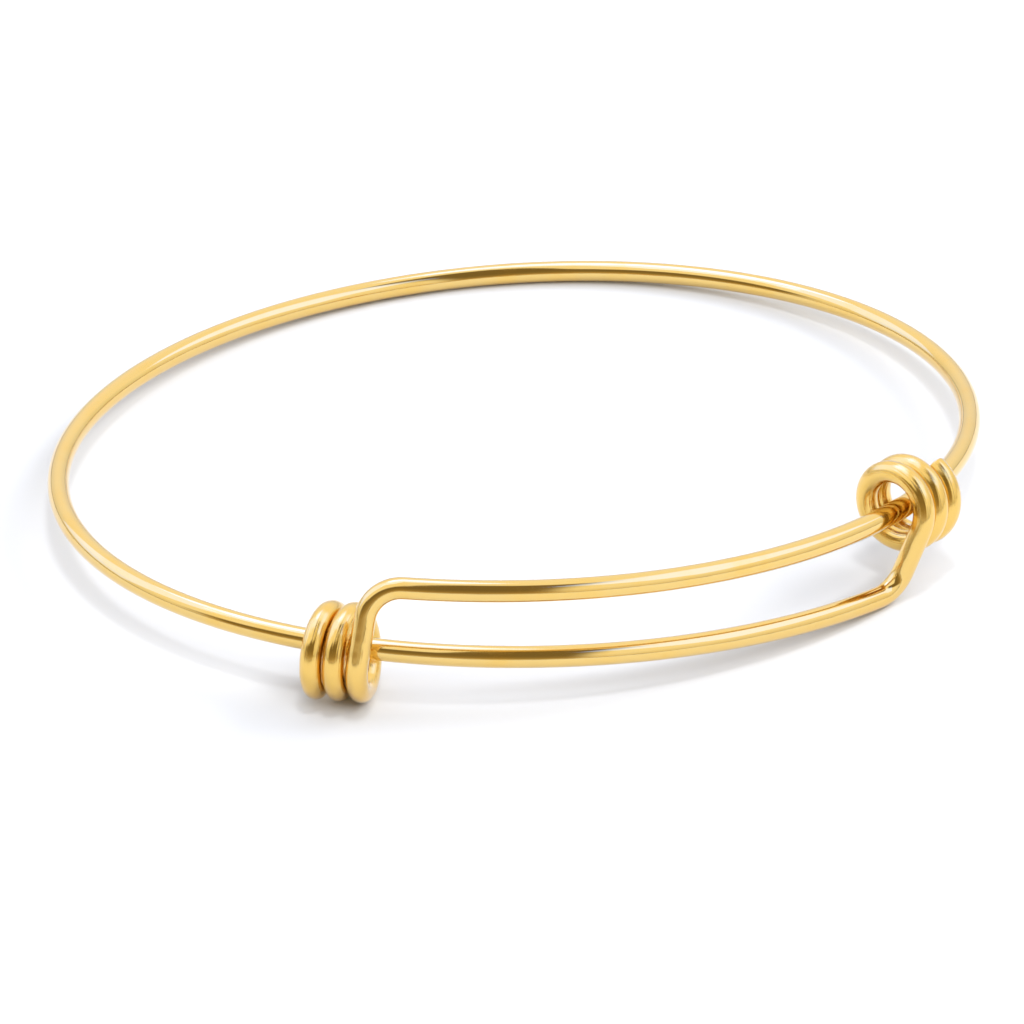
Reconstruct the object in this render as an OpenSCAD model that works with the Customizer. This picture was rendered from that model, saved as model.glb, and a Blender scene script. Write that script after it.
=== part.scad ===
// Expandable wire bangle: one round wire, bent once round the wrist. The two ends pass each other at
// the front, and each end is coiled round the other run, so the hoop can be pushed wider or closer.
// Millimetres. Z is up, the overlap is at the front (-Y), and the bangle lies as it would on a table:
// on the back of the hoop, the underside of the left coil and the bend below the right coil.

/* [Wire] */
// Diameter of the round wire
wire_d = 1.5; // [1.3:0.05:1.5]
// Bevel on the two cut ends of the wire
end_bevel = 0.1; // [0.05:0.05:0.3]

/* [Hoop] */
// Half of the hoop's length from left to right, to the middle of the wire
half_length = 32.2; // [31:0.1:34]
// Half of the hoop's width from front to back, to the middle of the wire
half_width = 27.6; // [27:0.1:29]
// Height from the lower run to the upper run at the front, middle to middle
run_step = 5.1; // [4.9:0.1:5.4]
// How much the climb from run to run is kept away from the front
level_stay = 0.6; // [0.4:0.05:0.8]
// How far the hoop's right side dips, and its left side stands up, against the middle
side_dip = 2.9; // [2.5:0.1:3.3]
// How far each run swings outward at its own end
end_spread = 1.0; // [0.8:0.05:1.2]
// How late that outward swing begins, a power
spread_power = 2.5; // [2:0.1:3]
// Angle either side of the front within which the runs swing outward
spread_angle = 36.3; // [35:0.1:38]

/* [Coils] */
// Radius of both coils to the middle of the wire
coil_r = 2.6; // [2.55:0.05:2.7]
// Advance of both coils per turn
coil_pitch = 1.58; // [1.56:0.01:1.62]
// Number of turns in each coil, counted from the side facing away from the wrist
coil_turns = 2.18; // [1.8:0.01:2.3]

/* [Left coil] */
// Length of wire from the end of the upper run to the corner of its bend
left_bend_reach = 2.2; // [1.8:0.1:2.4]
// Angle from the front of the bangle to the left coil
left_angle = 36.4; // [36:0.1:37]
// Angle from the front at which the upper run ends
left_run_end = 31.6; // [31:0.1:32]
// Turn of the left coil across the run it holds
left_yaw = 6; // [4:0.5:7]
// Slope of the left coil along the run it holds
left_tilt = 6; // [4:0.5:7]
// How far the left coil hangs below the run it holds
left_drop = 0.35; // [0.25:0.05:0.4]

/* [Right coil] */
// Length of wire from the end of the lower run to the corner of its bend
right_bend_reach = 1.6; // [1.5:0.1:2.4]
// Angle from the front of the bangle to the right coil
right_angle = 35.6; // [35.4:0.1:36.4]
// Angle from the front at which the lower run ends
right_run_end = 30.2; // [29.4:0.1:30.6]
// Turn of the right coil across the run it holds
right_yaw = 1; // [-1:0.5:3]
// Slope of the right coil along the run it holds
right_tilt = -1.5; // [-3:0.5:0]
// How far the right coil sits toward the wrist from the run it holds
right_inset = 0.3; // [0.2:0.05:0.35]

/* [Resting pose] */
// Angle by which the front of the bangle is raised off the table by its coils
front_lift = 4.48; // [4.2:0.01:4.8]
// Angle by which the left side is raised off the table
side_lift = 0.23; // [0:0.01:0.5]

/* [Hidden] */
gold = [0.87, 0.67, 0.33];
// Sides of the wire's section
sides = 16;
// Steps along the hoop, round a bend and round a coil, in degrees, and along a straight, in millimetres
hoop_step = 2.6;
bend_step = 9;
coil_step = 12;
straight_step = 0.7;
wire_r = wire_d / 2;
// Length of coil, as an angle in radians, over which the lead-in eases to the coil's own pitch
lead_in = 0.6;

function unit(v) = v / norm(v);

// A vector turned about a unit axis by an angle
function turned(v, axis, angle) =
    v * cos(angle) + cross(axis, v) * sin(angle) + axis * (axis * v) * (1 - cos(angle));

// Outward swing of the two runs toward their own ends; the wire goes from 0 to 360 degrees round the wrist
function swing(a) =
    end_spread * (pow(max(0, (spread_angle - a) / (2 * spread_angle)), spread_power)
        + pow(max(0, (a - 360 + spread_angle) / (2 * spread_angle)), spread_power));

function height(a) =
    (run_step / 2 + level_stay) * cos(a / 2) - level_stay * cos(1.5 * a) - side_dip * sin(a);

// Middle of the wire at an angle round the wrist, counted from the front toward the right
function run_at(a) =
    let (dx = half_length * cos(a), dy = half_width * sin(a), n = norm([dx, dy]))
    [half_length * sin(a) + dy / n * swing(a), -half_width * cos(a) - dx / n * swing(a), height(a)];

function run_way(a) = unit(run_at(a + 0.01) - run_at(a - 0.01));

// Bend, straight and coil at the lower run's right end. The left end is made the same way and given a
// half turn about the line from the wrist's middle to the front.
function wire_end(bend_reach, coil_angle, run_end, yaw, tilt, out, up) =
    let (
        z = [0, 0, 1],
        // axes of the coil: along it, away from the wrist, and upward
        along0 = run_way(coil_angle),
        away0 = unit(cross(along0, z)),
        above0 = cross(away0, along0),
        away = turned(away0, z, yaw),
        along = turned(turned(along0, z, yaw), away, tilt),
        above = turned(turned(above0, z, yaw), away, tilt),
        middle = run_at(coil_angle) + away * out + z * up,
        // the corner of the bend, seen from the coil
        way_in = run_way(360 + run_end),
        start = run_at(360 + run_end),
        corner = start + way_in * bend_reach,
        from_middle = corner - middle,
        ahead = from_middle * along,
        beside = from_middle * away,
        over = from_middle * above,
        far = norm([beside, over]),
        reach = sqrt(far * far - coil_r * coil_r),
        first = atan2(over, beside) + acos(coil_r / far),
        touch = middle + (away * cos(first) + above * sin(first)) * coil_r,
        way_out = unit(touch - corner),
        bend = acos(way_in * way_out),
        bend_r = bend_reach / tan(bend / 2),
        inward = unit(way_out - way_in * (way_in * way_out)),
        bend_middle = start + inward * bend_r,
        straight_start = corner + way_out * bend_reach,
        straight = touch - straight_start,
        bend_n = max(2, round(bend / bend_step)),
        straight_n = max(1, round(norm(straight) / straight_step)),
        coil_n = round((360 * coil_turns - first) / coil_step),
        slack = (-ahead / reach - coil_pitch / (2 * PI * coil_r)) * lead_in * coil_r
    )
    concat(
        [for (i = [1:bend_n]) let (s = bend * i / bend_n)
            bend_middle - inward * bend_r * cos(s) + way_in * bend_r * sin(s)],
        [for (i = [1:1:straight_n - 1]) straight_start + straight * i / straight_n],
        [for (i = [0:coil_n]) let (
                turn = (360 * coil_turns - first) * i / coil_n,
                b = first + turn,
                on = coil_pitch * turn / 360 + slack * (1 - exp(-turn * PI / 180 / lead_in))
            )
            middle + (away * cos(b) + above * sin(b)) * coil_r + along * on]
    );

right_end = wire_end(right_bend_reach, right_angle, right_run_end, right_yaw, right_tilt, -right_inset, 0);
left_end_raw = wire_end(left_bend_reach, left_angle, left_run_end, left_yaw, left_tilt, 0, left_drop);
left_end = [for (i = [len(left_end_raw) - 1:-1:0]) [-left_end_raw[i].x, left_end_raw[i].y, -left_end_raw[i].z]];
hoop_n = round((360 + left_run_end + right_run_end) / hoop_step);
hoop = [for (i = [0:hoop_n]) run_at(-left_run_end + (360 + left_run_end + right_run_end) * i / hoop_n)];

// The whole wire from cut end to cut end, turned into its resting pose but not yet set down
function laid(p) = turned(turned(p, [0, 1, 0], side_lift), [1, 0, 0], -front_lift);
route = [for (p = concat(left_end, hoop, right_end)) laid(p)];
last = len(route) - 1;
ways = [for (i = [0:last]) unit(route[min(i + 1, last)] - route[max(i - 1, 0)])];

function squared(v, way) = unit(v - way * (v * way));

// A direction across the wire at each station, carried along without twist
acrosses = [for (
        i = 0, v = squared([0, 0, 1], ways[0]);
        i <= last;
        v = squared(v, ways[min(i + 1, last)]), i = i + 1
    ) v];

function ring(i, r, back) =
    let (u = acrosses[i], w = cross(ways[i], u))
    [for (k = [0:sides - 1]) route[i] + ways[i] * back + (u * cos(360 * k / sides) + w * sin(360 * k / sides)) * r];

// A short bevelled step closes the wire at each cut end
rings = concat(
    [ring(0, wire_r - end_bevel, -end_bevel)],
    [for (i = [0:last]) ring(i, wire_r, 0)],
    [ring(last, wire_r - end_bevel, end_bevel)]
);
loose = [for (r = rings) for (p = r) p];
low = [for (k = [0:2]) min([for (p = loose) p[k]])];
high = [for (k = [0:2]) max([for (p = loose) p[k]])];
foot = [(low.x + high.x) / 2, (low.y + high.y) / 2, low.z];
skin = [for (p = loose) p - foot];
count = len(rings);
faces = concat(
    [[for (k = [0:sides - 1]) k]],
    [for (i = [0:count - 2]) for (k = [0:sides - 1]) let (n = (k + 1) % sides)
        [i * sides + k, (i + 1) * sides + k, (i + 1) * sides + n]],
    [for (i = [0:count - 2]) for (k = [0:sides - 1]) let (n = (k + 1) % sides)
        [i * sides + k, (i + 1) * sides + n, i * sides + n]],
    [[for (k = [sides - 1:-1:0]) (count - 1) * sides + k]]
);

// The one bent wire: hoop, two runs, two bends, two coils
module bangle_wire() {
    color(gold) polyhedron(points = skin, faces = faces, convexity = 12);
}

bangle_wire();
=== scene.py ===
import math

import bmesh
import bpy
from bpy.props import FloatProperty, FloatVectorProperty, IntProperty, PointerProperty
from mathutils import Euler, Matrix, Vector


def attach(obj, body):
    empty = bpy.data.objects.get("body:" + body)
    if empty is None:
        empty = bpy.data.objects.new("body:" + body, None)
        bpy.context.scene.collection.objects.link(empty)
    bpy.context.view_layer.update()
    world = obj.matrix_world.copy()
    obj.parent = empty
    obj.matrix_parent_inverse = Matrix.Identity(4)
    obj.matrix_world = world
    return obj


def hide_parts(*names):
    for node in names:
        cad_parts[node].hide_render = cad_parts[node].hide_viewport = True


bl_info = {
    "name": "Expandable wire bangle",
    "version": (1, 0, 0),
    "blender": (4, 5, 0),
    "location": "View3D > Sidebar > Bangle",
    "description": "A bangle bent from one polished gold-coloured wire, lying in a pale studio",
    "category": "Add Mesh",
}

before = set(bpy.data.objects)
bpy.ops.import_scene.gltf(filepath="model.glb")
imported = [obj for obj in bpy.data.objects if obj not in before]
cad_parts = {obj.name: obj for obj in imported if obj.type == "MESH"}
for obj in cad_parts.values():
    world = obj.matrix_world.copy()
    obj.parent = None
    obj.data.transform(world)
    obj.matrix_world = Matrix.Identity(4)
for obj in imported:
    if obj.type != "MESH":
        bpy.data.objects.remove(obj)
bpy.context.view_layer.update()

NODE = "bangle_wire"
UP = Vector((0.0, 0.0, 1.0))
FULL_TURN = 2 * math.pi
# Half of the angle, in radians, between the two points that give the wire's direction
NUDGE = 0.001


def length(name, description, default):
    """A length in metres."""
    return FloatProperty(
        name=name, description=description, default=default, unit="LENGTH", precision=5)


def angle(name, description, degrees):
    """An angle, given in degrees and kept in radians."""
    return FloatProperty(
        name=name, description=description, default=math.radians(degrees), subtype="ANGLE")


def number(name, description, default):
    """A plain number."""
    return FloatProperty(name=name, description=description, default=default)


def count(name, description, default, low, high):
    """A whole number and its bounds."""
    return IntProperty(name=name, description=description, default=default, min=low, max=high)


def colour(name, description, default):
    """A colour as red, green and blue, from 0 to 1."""
    return FloatVectorProperty(
        name=name, description=description, default=default, subtype="COLOR", min=0.0, max=1.0)


def passage(name, description, start, stop):
    """Two plain numbers, between which one thing passes into another."""
    return FloatVectorProperty(
        name=name, description=description, default=(start, stop), size=2)


def angle_passage(name, description, start, stop):
    """Two angles, between which one thing passes into another, given in degrees."""
    return FloatVectorProperty(
        name=name, description=description, default=(math.radians(start), math.radians(stop)),
        size=2, unit="ROTATION")


class BangleWireSizes(bpy.types.PropertyGroup):
    """The wire, and how finely it is modelled."""

    diameter: length("Wire diameter", "Diameter of the round wire", 0.0015)
    end_bevel: length("End rounding", "Rounding of the two cut ends", 0.0001)
    sides: count("Sides", "Corners in the wire's round section", 36, 12, 64)
    step: length("Step", "Distance from section to section along the hoop", 0.0008)
    coil_step: angle("Coil step", "Turn from section to section round a coil or bend", 6)
    bend_steps: count("Bend steps", "Fewest sections round a bend", 8, 2, 64)
    end_steps: count("End steps", "Sections over which a cut end is rounded", 4, 1, 16)
    run_in: length("Run-in", "Wire beyond a run's end over which the tool marks set in", 0.009)


class BangleHoopSizes(bpy.types.PropertyGroup):
    """The hoop and the two runs at the front."""

    half_length: length("Half length", "From the middle to the wire, left to right", 0.0322)
    half_width: length("Half width", "From the middle to the wire, front to back", 0.0276)
    run_step: length("Run step", "Height from the lower run to the upper one at the front", 0.0051)
    level_stay: length("Level stay", "Keeps the climb from run to run away from the front", 0.0006)
    side_dip: length("Side dip", "How far the right side dips and the left side stands up", 0.0029)
    end_spread: length("End spread", "How far each run swings outward at its own end", 0.001)
    spread_power: number("Spread power", "How late that outward swing begins", 2.5)
    spread_angle: angle("Spread angle", "Angle from the front within which the runs swing", 36.3)


class BangleCoilSizes(bpy.types.PropertyGroup):
    """What the two coils share."""

    radius: length("Coil radius", "Radius of both coils to the middle of the wire", 0.0026)
    pitch: length("Coil pitch", "Advance of both coils per turn", 0.00158)
    turns: number("Turns", "Turns in each coil, from the side away from the wrist", 2.18)
    lead_in: number("Lead-in", "Radians of coil over which its lead-in eases", 0.6)


class BangleRightCoil(bpy.types.PropertyGroup):
    """The lower run's end, coiled round the upper run."""

    place: angle("Place", "Angle from the front of the bangle to the right coil", 35.6)
    run_end: angle("Run end", "Angle from the front at which the lower run ends", 30.2)
    bend_reach: length("Bend reach", "Wire from that end to the corner of its bend", 0.0016)
    yaw: angle("Yaw", "Turn of the coil across the run that it holds", 1)
    tilt: angle("Tilt", "Slope of the coil along the run that it holds", -1.5)
    outward: length("Outward", "Shift of the coil away from the wrist", -0.0003)
    shift: length("Shift", "Shift of the coil across the run, in height", 0.0)


class BangleLeftCoil(bpy.types.PropertyGroup):
    """The upper run's end, coiled round the lower run."""

    place: angle("Place", "Angle from the front of the bangle to the left coil", 36.4)
    run_end: angle("Run end", "Angle from the front at which the upper run ends", 31.6)
    bend_reach: length("Bend reach", "Wire from that end to the corner of its bend", 0.0022)
    yaw: angle("Yaw", "Turn of the coil across the run that it holds", 6)
    tilt: angle("Tilt", "Slope of the coil along the run that it holds", 6)
    outward: length("Outward", "Shift of the coil away from the wrist", 0.0)
    shift: length("Shift", "Shift of the coil across the run, in height", 0.00035)


class BangleRest(bpy.types.PropertyGroup):
    """How the bangle lies on the table."""

    front_lift: angle("Front lift", "Angle by which the coils raise the front off the table", 4.48)
    side_lift: angle("Side lift", "Angle by which the left side is raised off the table", 0.23)


class BangleGold(bpy.types.PropertyGroup):
    """The look of the plated wire."""

    colour: colour("Gold", "Colour of the polished plating", (0.82, 0.56, 0.17))
    worn_colour: colour("Worn gold", "Colour where wear has dulled it", (0.84, 0.54, 0.125))
    lacquer: number("Lacquer", "Weight of the clear lacquer over the plating", 0.6)
    lacquer_index: number("Lacquer index", "Refractive index of that lacquer", 1.6)
    polish: number("Polish", "Roughness where the polish is best", 0.08)
    handled: number("Handled", "Roughness where handling has dulled it", 0.15)
    patch_size: length("Patch size", "Size of the patches that handling has dulled", 0.004)
    patch_level: passage("Patch level", "Noise from the edge of a patch to its middle", 0.42, 0.72)
    tooled: number("Tooled", "Roughness where the winding tools have rubbed the wire", 0.16)
    streak_size: length("Streak width", "Width of the fine marks along the wire", 0.00018)
    streak_shape: number("Streak shape", "Width of those marks as a share of their length", 0.03)
    streak_depth: length("Streak depth", "Depth of the fine marks along the hoop", 0.0000025)
    tooled_depth: length("Tool mark depth", "Depth of the marks on the wound ends", 0.00005)
    waver_size: length("Waver size", "Length of the soft unevenness left by bending", 0.004)
    waver_depth: length("Waver depth", "Depth of the soft unevenness left by bending", 0.000015)
    dent_size: length("Dent size", "Length of the shallow dents that winding left", 0.0013)
    dent_depth: length("Dent depth", "Depth of the shallow dents that winding left", 0.00007)


class BangleStudio(bpy.types.PropertyGroup):
    """The floor, the lamps and the camera."""

    floor_size: length("Floor size", "Side of the square floor", 6.0)
    floor_colour: colour("Floor", "Colour of the floor", (0.615, 0.632, 0.668))
    floor_roughness: number("Floor roughness", "Roughness of the floor", 0.7)
    floor_shine: number("Floor shine", "Strength of the reflection on the floor", 0.2)
    cool: colour("Cool light", "Colour that the mirrored lamps add to the tent's", (0.05, 0.2, 1.0))
    overhead: number("Overhead lamp", "Brightness of the soft lamp overhead", 2.3)
    right_lamp: number("Right lamp", "Brightness of the soft lamp on the right", 2.0)
    left_lamp: number("Left lamp", "Brightness of the soft lamp behind on the left", 1.7)
    behind_lamp: number("Behind lamp", "Brightness of the small soft lamp high up behind", 3.6)
    high_key: number("High key", "Brightness of the small key overhead, unseen by the gold", 34.0)
    front_key: number("Front key", "Brightness of the soft key in front, unseen by the gold", 4.6)
    side_key: number("Side key", "Brightness of the soft key on the right, unseen by the gold", 6.4)
    aim: FloatVectorProperty(
        name="Aim", description="Point of the table that the camera looks at",
        default=(-0.00182, -0.00357, 0.0), subtype="TRANSLATION", unit="LENGTH", precision=5)
    distance: length("Camera distance", "From that point to the camera", 0.5072)
    heading: angle("Camera heading", "Turn of the camera's view from +Y toward +X", 21.03)
    elevation: angle("Camera elevation", "Height of the camera over the table, as an angle", 31.39)
    roll: angle("Camera roll", "Turn of the camera about its own view", 0.84)
    lens: number("Lens", "Focal length in millimetres on a sensor 36 mm wide", 257.7)


class BangleTent(bpy.types.PropertyGroup):
    """The white tent round the table, and its opening round the camera.

    Heights and shares to the left are parts of a direction from the table, one unit long.
    """

    brightness: number("Brightness", "Brightness of the white tent round the table", 1.1)
    foot: number("Foot", "Share of that brightness level with the table", 0.3)
    wall: number("Wall", "Share of it on the wall", 0.85)
    crown: number("Crown", "Share that is added toward the top", 0.2)
    wall_height: passage("Wall height", "Heights from the foot to the wall", 0.0, 0.08)
    crown_height: passage("Crown height", "Heights from the wall to the crown", 0.08, 0.5)
    opening: colour("Opening", "Colour of the opening round the camera", (0.21, 0.165, 0.08))
    opening_foot: colour("Opening's foot", "Colour of it near the table", (0.42, 0.32, 0.15))
    foot_depth: angle_passage("Foot depth", "Angles up from the foot's colour to the other", -4, 40)
    foot_edge: angle_passage("Foot edge", "Angles up, over which the opening starts", -4, 14)
    right_edge: passage("Right edge", "Shares to the left, over which it starts", -0.46, -0.34)
    left_edge: passage("Left edge", "Shares to the left, over which it stops", 0.82, 0.97)
    top_slope: passage("Top slope", "Shares to the left, over which its top sinks", -0.14, 0.08)
    top_rise: angle_passage("Top rise", "Angles up to that top, before and after", 90, 50)
    top_blur: number("Top blur", "Radians either side of its top, over which it stops", 0.08)


class BangleSettings(bpy.types.PropertyGroup):
    """All settings of the bangle and its studio."""

    wire: PointerProperty(type=BangleWireSizes)
    hoop: PointerProperty(type=BangleHoopSizes)
    coil: PointerProperty(type=BangleCoilSizes)
    right: PointerProperty(type=BangleRightCoil)
    left: PointerProperty(type=BangleLeftCoil)
    rest: PointerProperty(type=BangleRest)
    gold: PointerProperty(type=BangleGold)
    studio: PointerProperty(type=BangleStudio)
    tent: PointerProperty(type=BangleTent)


def turned(vector, axis, turn):
    """The vector turned about an axis through the origin."""
    return Matrix.Rotation(turn, 3, axis) @ vector


def run_point(hoop, at):
    """Middle of the wire at an angle round the wrist, counted from the front toward the right."""
    share = (hoop.spread_angle - at) / (2 * hoop.spread_angle)
    other = (at - FULL_TURN + hoop.spread_angle) / (2 * hoop.spread_angle)
    swing = hoop.end_spread * (
        max(0.0, share) ** hoop.spread_power + max(0.0, other) ** hoop.spread_power)
    outward = Vector((hoop.half_width * math.sin(at), -hoop.half_length * math.cos(at), 0.0))
    point = Vector((hoop.half_length * math.sin(at), -hoop.half_width * math.cos(at), 0.0))
    climb = at / 2
    height = (
        (hoop.run_step / 2 + hoop.level_stay) * math.cos(climb)
        - hoop.level_stay * math.cos(3 * climb)
        - hoop.side_dip * math.sin(at))
    return point + outward.normalized() * swing + UP * height


def run_way(hoop, at):
    """Direction of the wire at that angle."""
    return (run_point(hoop, at + NUDGE) - run_point(hoop, at - NUDGE)).normalized()


def coil_axes(hoop, place):
    """A coil's middle, and its directions: along the run, away from the wrist, and upward."""
    way = run_way(hoop, place.place)
    away = way.cross(UP).normalized()
    above = away.cross(way)
    away, way, above = (turned(v, UP, place.yaw) for v in (away, way, above))
    way, above = (turned(v, away, place.tilt) for v in (way, above))
    middle = run_point(hoop, place.place) + away * place.outward + UP * place.shift
    return middle, way, away, above


def bend_points(start, way_in, way_out, reach, wire):
    """Points round a bend whose corner lies at the reach beyond its start."""
    bend = way_in.angle(way_out)
    radius = reach / math.tan(bend / 2)
    inward = (way_out - way_in * way_in.dot(way_out)).normalized()
    middle = start + inward * radius
    steps = max(wire.bend_steps, round(bend / wire.coil_step))
    points = []
    for i in range(1, steps + 1):
        turn = bend * i / steps
        points.append(middle - inward * radius * math.cos(turn) + way_in * radius * math.sin(turn))
    return points


def end_points(sizes, place):
    """Bend, straight and coil at the lower run's right end, as points along the wire."""
    hoop, coil, wire = sizes.hoop, sizes.coil, sizes.wire
    middle, way, away, above = coil_axes(hoop, place)
    leaving = FULL_TURN + place.run_end
    start, way_in = run_point(hoop, leaving), run_way(hoop, leaving)
    corner = start + way_in * place.bend_reach

    # A straight leaves the corner of the bend and touches the coil's circle at the angle first
    seen = corner - middle
    beside, over = seen.dot(away), seen.dot(above)
    far = math.hypot(beside, over)
    reach = math.sqrt(far * far - coil.radius ** 2)
    first = math.atan2(over, beside) + math.acos(coil.radius / far)
    touch = middle + (away * math.cos(first) + above * math.sin(first)) * coil.radius
    way_out = (touch - corner).normalized()
    points = bend_points(start, way_in, way_out, place.bend_reach, wire)

    # The straight's sections are half a step apart
    straight_start = corner + way_out * place.bend_reach
    straight = touch - straight_start
    straight_steps = max(1, round(2 * straight.length / wire.step))
    for i in range(1, straight_steps):
        points.append(straight_start + straight * i / straight_steps)

    # The coil's advance eases from the straight's slope to the coil's own pitch
    wound = FULL_TURN * coil.turns - first
    slack = -seen.dot(way) / reach - coil.pitch / (FULL_TURN * coil.radius)
    slack *= coil.lead_in * coil.radius
    coil_steps = round(wound / wire.coil_step)
    for i in range(coil_steps + 1):
        turn = wound * i / coil_steps
        on = coil.pitch * turn / FULL_TURN + slack * (1 - math.exp(-turn / coil.lead_in))
        at = first + turn
        ray = away * math.cos(at) + above * math.sin(at)
        points.append(middle + ray * coil.radius + way * on)
    return points


def marked_end(sizes, place):
    """The points of one end of the wire, each with its share of tool marks."""
    points = end_points(sizes, place)
    along = 0.0
    stations = []
    for before, point in zip(points[:1] + points, points):
        along += (point - before).length
        stations.append((point, min(1.0, along / sizes.wire.run_in)))
    return stations


def wire_points(sizes):
    """The whole wire from cut end to cut end, as it rests on the table but not yet set down.

    Each point comes with its share of tool marks: none along the hoop, 1 on the coils.
    """
    hoop = sizes.hoop
    start, stop = -sizes.left.run_end, FULL_TURN + sizes.right.run_end
    steps = round((stop - start) * hoop.half_length / sizes.wire.step)
    left = reversed(marked_end(sizes, sizes.left))
    stations = [(Vector((-p.x, p.y, -p.z)), share) for p, share in left]
    for i in range(steps + 1):
        stations.append((run_point(hoop, start + (stop - start) * i / steps), 0.0))
    stations += marked_end(sizes, sizes.right)
    lay = Matrix.Rotation(-sizes.rest.front_lift, 3, "X")
    lay = lay @ Matrix.Rotation(sizes.rest.side_lift, 3, "Y")
    return [(lay @ p, share) for p, share in stations]


def sections_along(points):
    """A matrix at each point that takes a flat ring there, square to the wire, without twist."""
    last = len(points) - 1
    made = []
    across = UP
    for i, point in enumerate(points):
        way = (points[min(i + 1, last)] - points[max(i - 1, 0)]).normalized()
        across = (across - way * across.dot(way)).normalized()
        side = way.cross(across)
        turn = Matrix((across, side, way)).transposed().to_4x4()
        made.append(Matrix.Translation(point) @ turn)
    return made


def end_sections(section, wire, way):
    """Matrices of the rings that shrink toward a cut end, from the full wire outward."""
    radius, rounding = wire.diameter / 2, wire.end_bevel
    made = []
    for i in range(1, wire.end_steps + 1):
        t = math.pi / 2 * i / wire.end_steps
        shrunk = (radius - rounding * (1 - math.cos(t))) / radius
        ahead = Matrix.Translation((0.0, 0.0, way * rounding * math.sin(t)))
        made.append(section @ ahead @ Matrix.Diagonal((shrunk, shrunk, 1.0, 1.0)))
    return made


def swept_wire(name, stations, wire):
    """A round wire through the stations, each a point and its share of tool marks.

    Each corner keeps its place on the wire before it was bent, and its share of marks.
    """
    middle = sections_along([point for point, _ in stations])
    first = end_sections(middle[0], wire, -1)
    final = end_sections(middle[-1], wire, 1)
    sections = list(reversed(first)) + middle + final
    marks = [stations[0][1]] * len(first)
    marks += [share for _, share in stations]
    marks += [stations[-1][1]] * len(final)

    bm = bmesh.new()
    unbent = bm.verts.layers.float_vector.new("unbent")
    marked = bm.verts.layers.float.new("marked")
    ring = bmesh.ops.create_circle(bm, segments=wire.sides, radius=wire.diameter / 2)["verts"]
    for corner in ring:
        corner[unbent] = corner.co
        corner[marked] = marks[0]
    bmesh.ops.transform(bm, matrix=sections[0], verts=ring)
    edges = bm.edges[:]
    along = 0.0
    for before, after, share in zip(sections, sections[1:], marks[1:]):
        along += (after.translation - before.translation).length
        grown = bmesh.ops.extrude_edge_only(bm, edges=edges)["geom"]
        ring = [g for g in grown if isinstance(g, bmesh.types.BMVert)]
        new = set(ring)
        edges = [
            g for g in grown
            if isinstance(g, bmesh.types.BMEdge) and g.verts[0] in new and g.verts[1] in new]
        bmesh.ops.transform(bm, matrix=after @ before.inverted(), verts=ring)
        for corner in ring:
            corner[unbent].z = along
            corner[marked] = share
    bmesh.ops.holes_fill(bm, edges=bm.edges[:], sides=0)
    bmesh.ops.recalc_face_normals(bm, faces=bm.faces[:])
    for face in bm.faces:
        face.smooth = True
    mesh = bpy.data.meshes.new(name)
    bm.to_mesh(mesh)
    bm.free()
    piece = bpy.data.objects.new(name, mesh)
    bpy.context.scene.collection.objects.link(piece)
    return piece


def set_down(piece):
    """Puts the piece where its CAD node is: its box stands on the table round the origin."""
    low = Vector(min(v.co[k] for v in piece.data.vertices) for k in range(3))
    high = Vector(max(v.co[k] for v in piece.data.vertices) for k in range(3))
    foot = Vector(((low.x + high.x) / 2, (low.y + high.y) / 2, low.z))
    piece.data.transform(Matrix.Translation(-foot))


def add_node(tree, kind, inputs=None, **settings):
    """A shader node with its settings, and its inputs set or linked by name or number."""
    node = tree.nodes.new(kind)
    for key, value in settings.items():
        setattr(node, key, value)
    for key, value in (inputs or {}).items():
        if isinstance(value, bpy.types.NodeSocket):
            tree.links.new(value, node.inputs[key])
        else:
            node.inputs[key].default_value = value
    return node


def dot_with(tree, vector, way):
    """How far the vector reaches along a direction."""
    node = add_node(tree, "ShaderNodeVectorMath", {0: vector}, operation="DOT_PRODUCT")
    node.inputs[1].default_value = way
    return node.outputs["Value"]


def maths(tree, operation, first, second):
    """The outcome of one operation on two values."""
    return add_node(tree, "ShaderNodeMath", {0: first, 1: second}, operation=operation).outputs[0]


def fade(tree, value, start, stop, low=0.0, high=1.0):
    """A smooth passage from low to high as the value goes from start to stop."""
    return add_node(
        tree, "ShaderNodeMapRange",
        {"Value": value, "From Min": start, "From Max": stop, "To Min": low, "To Max": high},
        interpolation_type="SMOOTHSTEP").outputs["Result"]


def mixed(tree, share, first, second):
    """A colour between two colours, which are sockets 6 and 7 and output 2 of the Mix node."""
    node = add_node(
        tree, "ShaderNodeMix", {0: share, 6: first, 7: second}, data_type="RGBA")
    return node.outputs[2]


def noise(tree, vector, size, detail, roughness=0.5):
    """Soft noise whose patches are about the given size."""
    return add_node(
        tree, "ShaderNodeTexNoise",
        {"Vector": vector, "Scale": 1 / size, "Detail": detail, "Roughness": roughness},
    ).outputs["Fac"]


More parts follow.
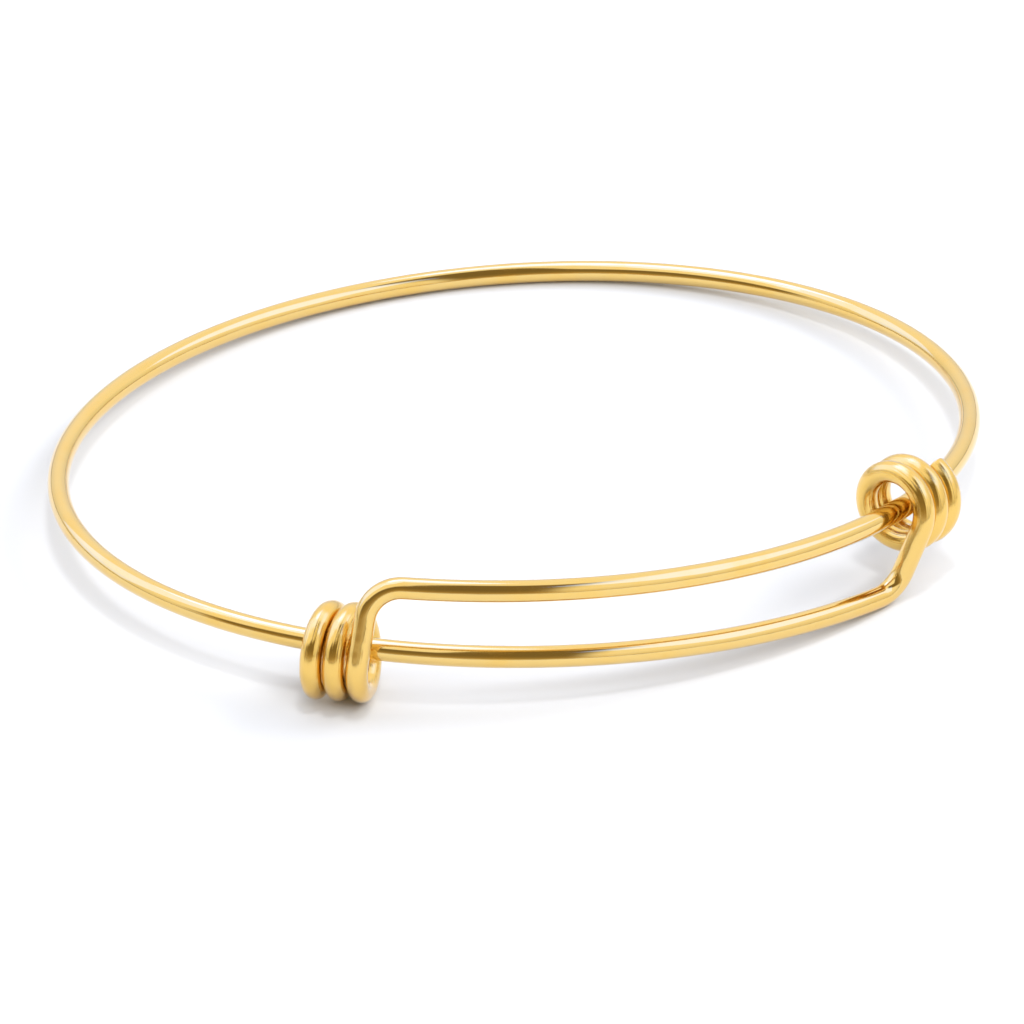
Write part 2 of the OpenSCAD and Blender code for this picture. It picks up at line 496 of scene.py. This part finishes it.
def polished_gold(gold):
    """Polished gold plating with fine marks along the wire, deeper and duller on the wound ends."""
    material = bpy.data.materials.new("polished_gold")
    material.use_nodes = True
    tree = material.node_tree
    shader = tree.nodes["Principled BSDF"]
    shader.inputs["Metallic"].default_value = 1.0
    shader.inputs["Coat Weight"].default_value = gold.lacquer
    shader.inputs["Coat Roughness"].default_value = gold.polish
    shader.inputs["Coat IOR"].default_value = gold.lacquer_index

    unbent = add_node(tree, "ShaderNodeAttribute", attribute_name="unbent").outputs["Vector"]
    marked = add_node(tree, "ShaderNodeAttribute", attribute_name="marked").outputs["Fac"]
    stretch = {"Vector": unbent, "Scale": (1.0, 1.0, gold.streak_shape)}
    drawn = add_node(tree, "ShaderNodeMapping", stretch).outputs[0]
    patches = noise(tree, unbent, gold.patch_size, detail=4.0, roughness=0.6)
    dulled = fade(tree, patches, *gold.patch_level)
    rubbed = maths(tree, "MAXIMUM", dulled, marked)
    tint = mixed(tree, rubbed, (*gold.colour, 1.0), (*gold.worn_colour, 1.0))
    tree.links.new(tint, shader.inputs["Base Color"])
    handled = fade(tree, dulled, 0.0, 1.0, gold.polish, gold.handled)
    tooled = fade(tree, marked, 0.0, 1.0, 0.0, gold.tooled)
    tree.links.new(maths(tree, "MAXIMUM", handled, tooled), shader.inputs["Roughness"])

    wavers = noise(tree, unbent, gold.waver_size, detail=1.0)
    dents = noise(tree, unbent, gold.dent_size, detail=1.0)
    streaks = noise(tree, drawn, gold.streak_size, detail=3.0)
    layers = (
        (wavers, gold.waver_depth),
        (dents, fade(tree, marked, 0.0, 1.0, 0.0, gold.dent_depth)),
        (streaks, fade(tree, marked, 0.0, 1.0, gold.streak_depth, gold.tooled_depth)),
    )
    for height, depth in layers:
        bump = add_node(tree, "ShaderNodeBump", {"Height": height, "Distance": depth})
        if shader.inputs["Normal"].is_linked:
            tree.links.new(shader.inputs["Normal"].links[0].from_socket, bump.inputs["Normal"])
        tree.links.new(bump.outputs["Normal"], shader.inputs["Normal"])
    return material


class BANGLE_OT_add_wire(bpy.types.Operator):
    """Bends the bangle's one wire: the hoop, the two runs, the two bends and the two coils"""

    bl_idname = "bangle.add_wire"
    bl_label = "Add the bent wire"

    def execute(self, context):
        sizes = context.scene.bangle
        piece = swept_wire("gold_wire_bangle", wire_points(sizes), sizes.wire)
        set_down(piece)
        piece.data.materials.append(polished_gold(sizes.gold))
        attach(piece, "root")
        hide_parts(NODE)
        return {"FINISHED"}


def sky_way(heading, elevation):
    """Direction from the table, by its turn from +Y toward +X and its height as an angle."""
    flat = math.cos(elevation)
    return Vector((math.sin(heading) * flat, math.cos(heading) * flat, math.sin(elevation)))


def toward_camera(studio):
    """Direction from the table to the camera."""
    return sky_way(studio.heading + math.pi, studio.elevation)


def add_floor(studio):
    """The plain pale floor that the bangle lies on."""
    bm = bmesh.new()
    bmesh.ops.create_grid(bm, x_segments=8, y_segments=8, size=studio.floor_size / 2)
    mesh = bpy.data.meshes.new("studio_floor")
    bm.to_mesh(mesh)
    bm.free()
    floor = bpy.data.objects.new("studio_floor", mesh)
    bpy.context.scene.collection.objects.link(floor)
    material = bpy.data.materials.new("pale_floor")
    material.use_nodes = True
    shader = material.node_tree.nodes["Principled BSDF"]
    shader.inputs["Base Color"].default_value = (*studio.floor_colour, 1.0)
    shader.inputs["Roughness"].default_value = studio.floor_roughness
    shader.inputs["Specular IOR Level"].default_value = studio.floor_shine
    mesh.materials.append(material)


def add_tent(studio, tent):
    """A white tent of light, dimmer toward the table, with a dark opening on the camera's side.

    The heights, shares and angles are those of a direction seen from the table.
    """
    world = bpy.data.worlds.new("light_tent")
    bpy.context.scene.world = world
    world.use_nodes = True
    tree = world.node_tree
    way = add_node(tree, "ShaderNodeTexCoord").outputs["Generated"]
    side = studio.heading + math.pi
    height = dot_with(tree, way, UP)
    ahead = dot_with(tree, way, sky_way(side, 0.0))
    beside = dot_with(tree, way, sky_way(side + math.pi / 2, 0.0))
    rise = maths(tree, "ARCTAN2", height, ahead)

    near_table = fade(tree, height, *tent.wall_height, tent.foot, tent.wall)
    higher = fade(tree, height, *tent.crown_height, 0.0, tent.crown)
    grey = maths(tree, "ADD", near_table, higher)
    walls = add_node(
        tree, "ShaderNodeCombineColor", {"Red": grey, "Green": grey, "Blue": grey}).outputs[0]

    right_edge = fade(tree, beside, *tent.right_edge)
    left_edge = fade(tree, beside, *tent.left_edge, 1.0, 0.0)
    across = maths(tree, "MULTIPLY", right_edge, left_edge)
    above_foot = fade(tree, rise, *tent.foot_edge)
    top = fade(tree, beside, *tent.top_slope, *tent.top_rise)
    over_top = maths(tree, "SUBTRACT", rise, top)
    below_top = fade(tree, over_top, -tent.top_blur, tent.top_blur, 1.0, 0.0)
    upright = maths(tree, "MULTIPLY", above_foot, below_top)
    opening = maths(tree, "MULTIPLY", across, upright)
    depth = fade(tree, rise, *tent.foot_depth)
    inside = mixed(tree, depth, (*tent.opening_foot, 1.0), (*tent.opening, 1.0))
    background = tree.nodes["Background"]
    tree.links.new(mixed(tree, opening, walls, inside), background.inputs["Color"])
    background.inputs["Strength"].default_value = tent.brightness


def add_lamp(name, brightness, heading, elevation, distance, wide, tall):
    """A soft rectangular lamp that faces the table; its power follows from its brightness."""
    lamp = bpy.data.lights.new(name, "AREA")
    lamp.shape = "RECTANGLE"
    lamp.size = wide
    lamp.size_y = tall
    lamp.energy = brightness * math.pi * wide * tall
    holder = bpy.data.objects.new(name, lamp)
    bpy.context.scene.collection.objects.link(holder)
    way = sky_way(math.radians(heading), math.radians(elevation))
    holder.location = way * distance
    holder.rotation_mode = "QUATERNION"
    holder.rotation_quaternion = way.to_track_quat("Z", "Y")
    return holder


def add_lamps(studio):
    """Four soft lamps are only mirrored by the gold, and three keys only light the floor."""
    overhead = add_lamp(
        "overhead_lamp", studio.overhead,
        heading=328, elevation=72, distance=0.6, wide=0.38, tall=0.3)
    left = add_lamp(
        "left_lamp", studio.left_lamp,
        heading=314, elevation=34, distance=0.7, wide=0.5, tall=0.65)
    right = add_lamp(
        "right_lamp", studio.right_lamp,
        heading=114, elevation=51, distance=0.7, wide=0.66, tall=0.42)
    behind = add_lamp(
        "behind_lamp", studio.behind_lamp,
        heading=5, elevation=60, distance=0.6, wide=0.32, tall=0.24)
    for mirrored in (overhead, left, right, behind):
        mirrored.data.color = studio.cool
        mirrored.visible_diffuse = False
    high = add_lamp(
        "high_key", studio.high_key,
        heading=180, elevation=80, distance=0.7, wide=0.11, tall=0.11)
    front = add_lamp(
        "front_key", studio.front_key,
        heading=180, elevation=50, distance=0.7, wide=0.4, tall=0.4)
    side = add_lamp(
        "side_key", studio.side_key,
        heading=90, elevation=35, distance=0.7, wide=0.4, tall=0.4)
    for key in (high, front, side):
        key.visible_glossy = False


def add_camera(studio):
    """The camera, at the photo's angle to the table."""
    camera = bpy.data.cameras.new("camera")
    camera.lens = studio.lens
    camera.sensor_width = 36.0
    camera.clip_start = 0.01
    holder = bpy.data.objects.new("camera", camera)
    bpy.context.scene.collection.objects.link(holder)
    holder.location = Vector(studio.aim) + toward_camera(studio) * studio.distance
    tip = Euler((math.pi / 2 - studio.elevation, 0.0, -studio.heading)).to_matrix()
    holder.rotation_euler = (tip @ Matrix.Rotation(-studio.roll, 3, "Z")).to_euler()
    bpy.context.scene.camera = holder


class BANGLE_OT_add_studio(bpy.types.Operator):
    """Adds the pale floor, the light and the camera"""

    bl_idname = "bangle.add_studio"
    bl_label = "Add the studio"

    def execute(self, context):
        settings = context.scene.bangle
        studio = settings.studio
        add_floor(studio)
        add_tent(studio, settings.tent)
        add_lamps(studio)
        add_camera(studio)
        context.scene.view_settings.view_transform = "Standard"
        return {"FINISHED"}


# The groups of settings that each operator builds from
BUILT_FROM = {
    "bangle.add_wire": ("wire", "hoop", "coil", "left", "right", "rest", "gold"),
    "bangle.add_studio": ("studio", "tent"),
}


class BANGLE_PT_sidebar(bpy.types.Panel):
    """Lists the bangle's sizes and the operators that build it"""

    bl_idname = "BANGLE_PT_sidebar"
    bl_label = "Wire bangle"
    bl_space_type = "VIEW_3D"
    bl_region_type = "UI"
    bl_category = "Bangle"

    def draw(self, context):
        settings = context.scene.bangle
        for operator, parts in BUILT_FROM.items():
            for part in parts:
                group = getattr(settings, part)
                box = self.layout.box()
                box.label(text=part.capitalize())
                for name in group.__annotations__:
                    box.prop(group, name)
            self.layout.operator(operator)


CLASSES = (
    BangleWireSizes, BangleHoopSizes, BangleCoilSizes, BangleRightCoil, BangleLeftCoil,
    BangleRest, BangleGold, BangleStudio, BangleTent, BangleSettings,
    BANGLE_OT_add_wire, BANGLE_OT_add_studio, BANGLE_PT_sidebar,
)


def register():
    for kind in CLASSES:
        bpy.utils.register_class(kind)
    bpy.types.Scene.bangle = PointerProperty(type=BangleSettings)


def unregister():
    del bpy.types.Scene.bangle
    for kind in reversed(CLASSES):
        bpy.utils.unregister_class(kind)


def main():
    register()
    bpy.ops.bangle.add_wire()
    bpy.ops.bangle.add_studio()


if __name__ == "__main__":
    main()
